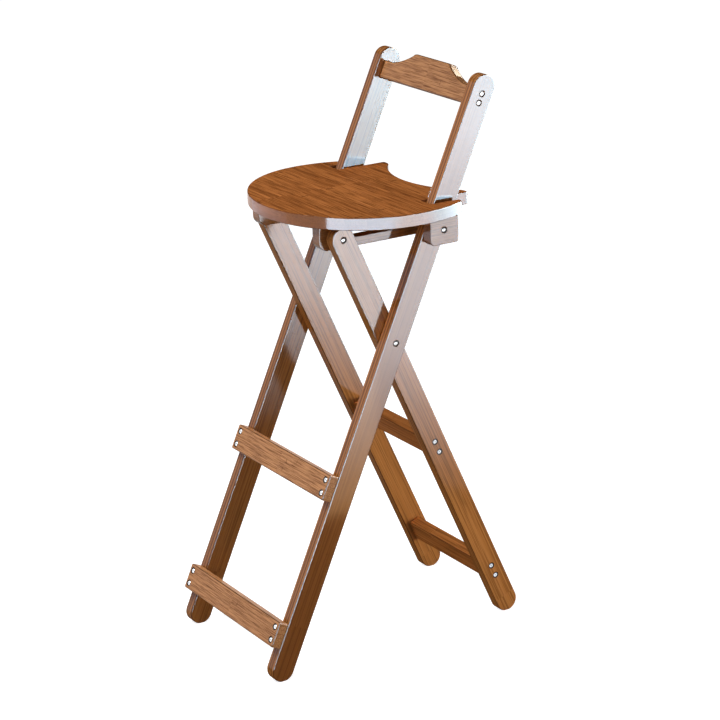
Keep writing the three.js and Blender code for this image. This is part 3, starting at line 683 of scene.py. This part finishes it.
def seatOutline():
    inner, outer = sideInner - seat["slotInner"], sideOuter + seat["slotOuter"]
    postFront = pivotBack + stool["pivotDrop"] * math.tan(lean) - footRadius / math.cos(lean)
    front = postFront - seat["slotFront"] - seat["shift"]
    corner, horn, radius = seat["slotCorner"], seat["hornCorner"], seat["radius"]
    tip = seat["tipShare"] * (math.sqrt(radius ** 2 - front ** 2) - outer)
    tipX = outer + tip
    tipY = math.sqrt((radius - tip) ** 2 - tipX ** 2)
    tipAngle = math.atan2(tipY, tipX)
    cutCentre, cutRadius = seat["cutReach"] + seat["cutRadius"], seat["cutRadius"]
    cutHalf = inner - seat["hornWidth"]
    hornReach = cutCentre - math.sqrt(cutRadius ** 2 - cutHalf ** 2)
    easedAngle = math.atan2(hornReach - cutCentre, cutHalf) - horn / cutRadius
    start, over = (cutHalf + horn, hornReach), (cutHalf, hornReach)
    finish = (cutRadius * math.cos(easedAngle), cutCentre + cutRadius * math.sin(easedAngle))
    ease = [tuple((1 - t) ** 2 * start[k] + 2 * t * (1 - t) * over[k] + t * t * finish[k]
                  for k in range(2)) for t in seat["easeAt"]]
    flatter, slotSteps = seat["frontReach"] / radius, seat["slotSteps"]
    half = [*((x, y * flatter) for x, y in arc((0, 0), radius, -quarter, 0, seat["frontSteps"])),
            *arc((0, 0), radius, 0, tipAngle, seat["flankSteps"])[1:],
            *arc((tipX, tipY), tip, tipAngle, 2 * quarter, seat["tipSteps"])[1:],
            *arc((outer - corner, front + corner), corner, 0, -quarter, slotSteps),
            *arc((inner + corner, front + corner), corner, -quarter, -2 * quarter, slotSteps),
            *arc((inner - horn, hornReach - horn), horn, 0, quarter, seat["hornSteps"]),
            *ease,
            *arc((0, cutCentre), cutRadius, easedAngle, -quarter, seat["cutSteps"])]
    return half + [(-x, y) for x, y in reversed(half[1:-1])]


board("seatBoard", "seat_board", [seatOutline()], seat, flat, seatFrame,
      (0, seat["shift"], stool["seatTop"] - seat["thickness"] / 2), materials["seat"],
      drilled(plainTool(underHole["shank"], underHole["depth"]), seatScrews), slot="seat_bamboo")

# Cleats under the seat, with the slot that the pins run in, and the brackets outside them
cleat = dict(thickness=20, height=37, front=29.2, rear=23.6, corners=(14, 14, 1.5, 1.5), edge=1.2,
             slot=6.3, slotSteps=20)
bracket = dict(thickness=20, height=40.7, front=23.8, rear=25.6, corners=(7.5, 4, 1.4, 1.4),
               edge=1.2)
for hand, side in hands:
    outline = cornered(-pivotBack - cleat["front"], -cleat["height"], pivotBack + cleat["rear"], 0,
                       cleat["corners"])
    drop = pivotHeight - hangerTop
    slot = (arc((-pivotBack, drop), cleat["slot"], quarter, 3 * quarter, cleat["slotSteps"])
            + arc((pivotBack, drop), cleat["slot"], -quarter, quarter, cleat["slotSteps"]))
    board(f"seatCleat.{hand}", f"seat_cleat_{hand}", [outline, slot], cleat, sideways, seatFrame,
          (side * (legInner - stool["laneGap"] - cleat["thickness"] / 2), 0, hangerTop),
          materials["hanger"], drilled(underTool, chosen(seatScrews, "cleat", hand)))
    outline = cornered(pivotBack - bracket["front"], -bracket["height"], pivotBack + bracket["rear"], 0,
                       bracket["corners"])
    tools = [*drilled(headedTool(boltHole, boltHoleDepth["seat"]), [f"seat_bolt_{hand}"]),
             *drilled(underTool, chosen(seatScrews, "bracket", hand))]
    board(f"pivotBracket.{hand}", f"pivot_bracket_{hand}", [outline], bracket, sideways, seatFrame,
          (side * (sideOuter + stool["laneGap"] + bracket["thickness"] / 2), 0, hangerTop),
          materials["hanger"], tools)

print("stage: fasteners")

# Depths as shares of the head's height; parts overlap a little, so that they join
headDepth = {
    "countersunkScrew": dict(easedEnd=0.135, rimTop=0.13, rimEnd=0.16, sinkTop=0.14, recess=0.6,
                             shankTop=0.8, headEnd=1.0),
    "domedBolt": dict(domeEnd=0.25, recess=0.6, shankTop=0.8, headEnd=1.0)}
# Shares of the head's or the recess's radius; the point and the socket's clearance in metres
headShape = dict(easedTop=0.84, armFloor=0.45, armHeight=0.75, armScale=(1.35, 0.3, 1.0),
                 pointLength=0.0035, pointTop=0.0038, pointRadius=0.0002, socketTop=0.001)


# Geometry Nodes: fasteners stand on points, turned to each point's outward direction
def fastenerTree(kind):
    tree, add, given = blankTree(kind, "Fasteners", {
        "Heads": "Geometry", "Head radius": "Float", "Head height": "Float", "Shank radius": "Float",
        "Length": "Float", "Recess radius": "Float", "Turn seed": "Int", "Material": "Material"})
    head, height, shank = given["Head radius"], given["Head height"], given["Shank radius"]
    recess, sides, shape, depth = given["Recess radius"], fine["headSides"], headShape, headDepth[kind]
    end = add("ShaderNodeMath MULTIPLY", given["Length"], -1.0)
    at = {name: add("ShaderNodeMath MULTIPLY", height, -share) for name, share in depth.items()}
    crossed = kind == "countersunkScrew"
    if crossed:
        # The shank and its point, a short rim, the countersink and an eased top
        eased = add("ShaderNodeMath MULTIPLY", head, shape["easedTop"])
        shankEnd = add("ShaderNodeMath ADD", end, shape["pointLength"])
        pointTop = add("ShaderNodeMath ADD", end, shape["pointTop"])
        cones = ((sides, shank, shank, at["shankTop"], shankEnd),
                 (sides, shank, shape["pointRadius"], pointTop, end),
                 (sides, head, head, at["rimTop"], at["rimEnd"]),
                 (sides, head, shank, at["sinkTop"], at["headEnd"]),
                 (sides, eased, head, 0.0, at["easedEnd"]))
    else:
        # The wall under the dome, the shank, and a hexagon socket to cut out
        cones = ((sides, head, head, at["domeEnd"], at["headEnd"]),
                 (sides, shank, shank, at["shankTop"], end),
                 (6, recess, recess, shape["socketTop"], at["recess"]))
    parts = []
    for count, top, bottom, high, low in cones:
        cone = add("GeometryNodeMeshCone", Vertices=count, Radius_Top=top, Radius_Bottom=bottom,
                   Depth=add("ShaderNodeMath SUBTRACT", high, low))
        parts.append(add("GeometryNodeTransform", cone, add("ShaderNodeCombineXYZ", Z=low)))
    if crossed:
        # Cross recess: two tapered arms
        floor = add("ShaderNodeMath MULTIPLY", recess, shape["armFloor"])
        deep = add("ShaderNodeMath MULTIPLY", height, shape["armHeight"])
        arms = []
        for turn in (0.0, quarter):
            arm = add("GeometryNodeMeshCone", Vertices=4, Radius_Top=recess, Radius_Bottom=floor,
                      Depth=deep)
            square = add("GeometryNodeTransform", arm, Rotation=(0, 0, quarter / 2))
            place = add("ShaderNodeCombineXYZ", Z=at["recess"])
            arms.append(add("GeometryNodeTransform", square, place, (0, 0, turn), shape["armScale"]))
        tool = add("GeometryNodeMeshBoolean UNION", arms, solver="MANIFOLD")
    else:
        tool = parts.pop()
        ball = add("GeometryNodeMeshUVSphere", sides, fine["domeRings"], 1.0)
        rise = add("ShaderNodeMath MULTIPLY", height, depth["domeEnd"])
        dome = add("GeometryNodeTransform", ball, add("ShaderNodeCombineXYZ", Z=at["domeEnd"]),
                   Scale=add("ShaderNodeCombineXYZ", head, head, rise))
        parts = [dome, *parts]
    solid = add("GeometryNodeMeshBoolean UNION", parts, solver="MANIFOLD")
    cut = add("GeometryNodeMeshBoolean DIFFERENCE", solid, tool, solver="MANIFOLD")
    outward = add("GeometryNodeInputNamedAttribute", "outward", data_type="FLOAT_VECTOR")
    aimed = add("FunctionNodeAlignRotationToVector", Vector=outward, axis="Z")
    spin = add("FunctionNodeRandomValue", 0.0, 4 * quarter, Seed=given["Turn seed"], data_type="FLOAT")
    spun = add("FunctionNodeAxisAngleToRotation", (0, 0, 1), spin)
    turnedBy = add("FunctionNodeRotateRotation", aimed, spun, rotation_space="LOCAL")
    stood = add("GeometryNodeInstanceOnPoints", given["Heads"], Instance=cut, Rotation=turnedBy)
    real = add("GeometryNodeRealizeInstances", stood)
    add("NodeGroupOutput", add("GeometryNodeSetMaterial", real, Material=given["Material"]))
    return tree


screwTree, boltTree = fastenerTree("countersunkScrew"), fastenerTree("domedBolt")
for name, tree, sizes, length, seed, names in (
        ("footrestScrews", screwTree, screw, screwLength["footrest"], 3, footrestScrews),
        ("railScrews", screwTree, screw, screwLength["rail"], 5, railScrews),
        ("stretcherScrews", screwTree, screw, screwLength["stretcher"], 8, stretcherScrews),
        ("underSeatScrews", screwTree, screw, screwLength["seat"], 13, seatScrews),
        ("legBolts", boltTree, bolt, boltLength["leg"], 21, ["leg_bolt_left", "leg_bolt_right"]),
        ("seatBolts", boltTree, bolt, boltLength["seat"], 34, ["seat_bolt_left", "seat_bolt_right"]),
        ("slotBolts", boltTree, bolt, boltLength["slot"], 55, ["slot_bolt_left", "slot_bolt_right"])):
    heads = meshObject(name + "Heads", [places[each][0] for each in names])
    outward = heads.data.attributes.new("outward", "FLOAT_VECTOR", "POINT")
    outward.data.foreach_set("vector", [value for each in names for value in places[each][1]])
    piece = placedObject(name, grown(heads, tree, {
        "Head radius": sizes["headRadius"] * mm, "Head height": sizes["headHeight"] * mm,
        "Shank radius": sizes["shankRadius"] * mm, "Length": length * mm,
        "Recess radius": sizes["recess"] * mm, "Turn seed": seed, "Material": materials["steel"]}))
    smoothed(piece, fine["steelSharp"])
    standsFor(piece, names, "zinc_steel")

# Turned hardware, as (radius, height) pairs from the head end inwards
washer = [(2.8, 0), (7.85, 0), (8, -0.1), (8, -0.3), (7.85, -0.4), (2.8, -0.4), (2.8, 0)]
hardware = {
    "leg_washer": ("legWashers", washer),
    "seat_washer": ("seatWashers", washer),
    "seat_insert_nut": ("seatInsertNuts", [
        (2.8, 0), (4, 0), (4.2, -0.2), (4.2, -13.7), (3.9, -14), (2.8, -14), (2.8, 0)]),
    # The sleeve nut's head lies under the flush plug
    "leg_sleeve_nut": ("legSleeveNuts", [
        (0, -0.9), (4.5, -0.9), (4.8, -1.2), (4.8, -2.7), (4, -2.7), (4, -18.4), (3.7, -18.7),
        (2.8, -18.7), (2.8, -2.4), (0, -2.4)]),
    "slot_bush": ("slotBushs", [
        (2.8, 0), (8.7, 0), (9, -0.3), (9, -2.2), (8.7, -2.5), (6, -2.5), (6, -23.2), (5.8, -23.4),
        (2.8, -23.4), (2.8, 0)]),
}
for kind, (name, profile) in hardware.items():
    names = [f"{kind}_{hand}" for hand, side in hands]
    piece = placedObject(name, turnedOnPlaces(name, drilled(profile, names), fine["turnedSides"]))
    piece.data.materials.append(materials["steel"])
    smoothed(piece, fine["steelSharp"])
    standsFor(piece, names, "zinc_steel")
for hand, side in hands:
    nodes[f"slot_nut_{hand}"].material_slots[0].material = materials["steel"]

print("stage: floor, light and camera")


def linkedGroup(name, objects):
    group = bpy.data.collections.new(name)
    for each in objects:
        group.objects.link(each)
    return group


# Reflections see a dark flag on the floor beside the feet and the bright floor beyond it, and a dome
# that is dark at the horizon and white overhead, so the seat keeps its colour
studio = dict(floor="#cbcbcb", floorSize=8, floorGlow=0.8, flagAt=(0.6, 0.25, 0),
              flagEdge=(0.85, 1.15), flagMirrored=(0.02, 2.6), worldDiffuse=0.38, domeEdge=(0.4, 0.8),
              domeMirrored=(0.03, 0.8))

far = studio["floorSize"]
floor = meshObject("studioFloor", [(-far, -far, 0), (far, -far, 0), (far, far, 0), (-far, far, 0)],
                   faces=[(0, 1, 2, 3)])
floorMaterial, add = blankMaterial("paleStudioFloor")
path = add("ShaderNodeLightPath").outputs
reflected = add("ShaderNodeMath MAXIMUM", path["Is Glossy Ray"], path["Is Transmission Ray"])
place = add("ShaderNodeTexCoord").outputs["Object"]
away = add("ShaderNodeVectorMath DISTANCE", place, studio["flagAt"])
beyond = add("ShaderNodeMapRange", away, *studio["flagEdge"], *studio["flagMirrored"])
matt = add("ShaderNodeBsdfDiffuse", linear(studio["floor"]))
glow = add("ShaderNodeMath MULTIPLY", path["Is Camera Ray"], studio["floorGlow"])
lit = add("ShaderNodeAddShader", matt, add("ShaderNodeEmission", white, glow))
mirrored = add("ShaderNodeEmission", white, beyond)
add("ShaderNodeOutputMaterial", add("ShaderNodeMixShader", reflected, lit, mirrored))
floor.data.materials.append(floorMaterial)

world = bpy.data.worlds.new("studioWorld")
bpy.context.scene.world = world
world.use_nodes = True
world.node_tree.nodes.clear()
add = partial(addNode, world.node_tree)
path = add("ShaderNodeLightPath").outputs
up = add("ShaderNodeSeparateXYZ", add("ShaderNodeTexCoord").outputs["Generated"]).outputs[2]
dome = add("ShaderNodeMapRange", up, *studio["domeEdge"], *studio["domeMirrored"])
reflected = add("ShaderNodeMath MAXIMUM", path["Is Glossy Ray"], path["Is Transmission Ray"])
level = add("ShaderNodeMix", reflected, studio["worldDiffuse"], dome, data_type="FLOAT")
level = add("ShaderNodeMix", path["Is Camera Ray"], level, 1.0, data_type="FLOAT")
add("ShaderNodeOutputWorld", add("ShaderNodeBackground", white, level))

# A low fill behind the open side lights the wood of the rear legs, and another the near side board;
# neither is mirrored, and the far side board stands in the shade of both
posts = [bpy.data.objects[f"sideBoard.{hand}"] for hand, side in hands]
rearLit = [piece for piece in (floor, *woodPieces, *steelPieces) if piece != posts[1]]
lamps = {
    "keySoftbox": dict(at=(-0.35, -1.5, 2.7), aim=(0, 0, 0.45), size=1.4, power=66, spread=180),
    "lowRearFill": dict(at=(0.95, 1.1, 0.3), aim=(0, 0.2, 0.2), size=0.5, power=1.6, spread=45,
                        only=rearLit),
    "sideFill": dict(at=(2.0, -0.5, 0.8), aim=(0, 0, 0.3), size=1, power=22, spread=180,
                     only=[posts[0]]),
}
for name, lamp in lamps.items():
    light = bpy.data.lights.new(name, "AREA")
    light.shape, light.size, light.size_y = "RECTANGLE", lamp["size"], lamp["size"]
    light.energy, light.spread = lamp["power"], math.radians(lamp["spread"])
    stand = placedObject(name, light)
    stand.location = lamp["at"]
    aim = Vector(lamp["aim"]) - Vector(lamp["at"])
    stand.rotation_euler = aim.to_track_quat("-Z", "Y").to_euler()
    stand.visible_camera = False
    if "only" in lamp:
        stand.visible_glossy = False
        stand.light_linking.receiver_collection = linkedGroup(name + "Pieces", lamp["only"])


# A sheet or card that glows and that only some pieces mirror; everything else looks through it
def mirroredOnly(card, material, add, colour, strength, receivers):
    glow = add("ShaderNodeEmission", colour, strength)
    add("ShaderNodeOutputMaterial", add("ShaderNodeAddShader", glow, add("ShaderNodeBsdfTransparent")))
    card.data.materials.append(material)
    card.visible_camera = card.visible_diffuse = card.visible_transmission = card.visible_shadow = False
    card.light_linking.receiver_collection = receivers


def setStops(ramp, stops):
    elements = ramp.color_ramp.elements
    while len(elements) < len(stops):
        elements.new(0.5)
    for element, (position, colour) in zip(elements, stops):
        element.position, element.color = position, colour


# A curved white reflector between the camera and the stool, seen only in the lacquer: metres and
# degrees, its tint by depth and its strength by height. The bright steel would burn out in it
reflector = dict(
    radius=0.75, start=-67, end=95, low=0.002, height=1.2, steps=48, coolEdge=(-0.1, 0.12),
    coolLevel=61.0, brightest=72.0,
    tints=((-0.1, "#c6e3fa"), (0.12, "#e2e8ee"), (0.44, "#dce7f2"), (0.52, "#d2efff")),
    levels=((0, 2), (0.04, 3), (0.16, 15), (0.28, 32), (0.44, 41), (0.545, 46), (0.605, 54),
            (0.675, 67), (0.8, 72), (1.2, 72)))
lacquered = linkedGroup("lacqueredPieces", woodPieces)
steel = linkedGroup("steelPieces", steelPieces)
height, brightest = reflector["height"], reflector["brightest"]
sweep = arc((0, 0), reflector["radius"], *map(math.radians, (reflector["start"], reflector["end"])),
            reflector["steps"])
sheet = meshObject("reflectorSheet", [(x, y, z) for x, y in sweep for z in (reflector["low"], height)],
                   faces=[(2 * i, 2 * i + 1, 2 * i + 3, 2 * i + 2) for i in range(reflector["steps"])])
sheetMaterial, add = blankMaterial("backlitDiffusionCloth")
split = add("ShaderNodeSeparateXYZ", add("ShaderNodeTexCoord").outputs["Object"]).outputs
fade = add("ShaderNodeValToRGB", add("ShaderNodeMath DIVIDE", split[2], height))
setStops(fade, [(z / height, (*[level / brightest] * 3, 1)) for z, level in reflector["levels"]])
# Cooler and of one level towards the front, where the seat's rim mirrors it
rearward = add("ShaderNodeMapRange", split[1], *reflector["coolEdge"], 0.0, 1.0)
tint = add("ShaderNodeValToRGB", add("ShaderNodeMapRange", split[1], -1.0, 1.0, 0.0, 1.0))
setStops(tint, [((y + 1) / 2, linear(colour)) for y, colour in reflector["tints"]])
graded = add("ShaderNodeMath MULTIPLY", fade, brightest)
strength = add("ShaderNodeMix", rearward, reflector["coolLevel"], graded, data_type="FLOAT")
mirroredOnly(sheet, sheetMaterial, add, tint, strength, lacquered)

# Flat cards that glow on their front sides. The steel heads mirror white ones on the floor and in
# front, the boards' front edges a cool one in front, the rail's crown a warm one behind it, and the
# posts a cool one that lies on the seat and a warm one beside it
sidePosts = linkedGroup("postPieces", posts)
seatTop = [seatFrame @ Vector((x * mm, (y + seat["shift"]) * mm, stool["seatTop"] * mm + 0.001))
           for x, y in seatOutline()]
for name, corners, colour, strength, receivers in (
        ("steelFloorCard", [(-3, -3, 0.001), (3, -3, 0.001), (3, 3, 0.001), (-3, 3, 0.001)],
         "#ffffff", 1.3, steel),
        ("steelFrontCard", [(-1.0, -2.0, 0.1), (-2.3, -0.3, 0.1), (-2.3, -0.3, 1.3), (-1.0, -2.0, 1.3)],
         "#ffffff", 1.3, steel),
        ("frontEdgeCard", [(-0.9, -1.9, 0.0), (-2.2, -0.2, 0.0), (-2.2, -0.2, 1.6), (-0.9, -1.9, 1.6)],
         "#d4deff", 2.0, lacquered),
        ("crownCard", [(-0.9, 1.45, 1.1), (1.1, 1.45, 1.1), (1.1, 1.3, 1.8), (-0.9, 1.3, 1.8)],
         "#fff1d8", 30.0, lacquered),
        ("seatCard", seatTop, "#b2e3ff", 44.0, sidePosts),
        ("warmCard", [(0.66, -0.1, 0.0), (0.66, -0.1, 0.42), (0.66, 0.29, 0.42), (0.66, 0.29, 0.0)],
         "#ffcb90", 11.0, sidePosts)):
    card = meshObject(name, corners, faces=[range(len(corners))])
    cardMaterial, add = blankMaterial(name + "Cloth")
    back = add("ShaderNodeNewGeometry").outputs["Backfacing"]
    mirroredOnly(card, cardMaterial, add, linear(colour),
                 add("ShaderNodeMapRange", back, 0.0, 1.0, strength, 0.0), receivers)

view = dict(at=(3.07909, -1.87229, 1.63759), forward=(-0.807739, 0.496742, -0.317498), roll=1.438,
            lens=123.458, sensor=36)
cameraData = bpy.data.cameras.new("photoCamera")
cameraData.lens, cameraData.sensor_width = view["lens"], view["sensor"]
camera = placedObject("photoCamera", cameraData)
camera.location = view["at"]
camera.rotation_mode = "QUATERNION"
roll = Matrix.Rotation(-math.radians(view["roll"]), 3, "Z").to_quaternion()
camera.rotation_quaternion = Vector(view["forward"]).to_track_quat("-Z", "Y") @ roll
bpy.context.scene.camera = camera
bpy.context.scene.view_settings.view_transform = "Standard"
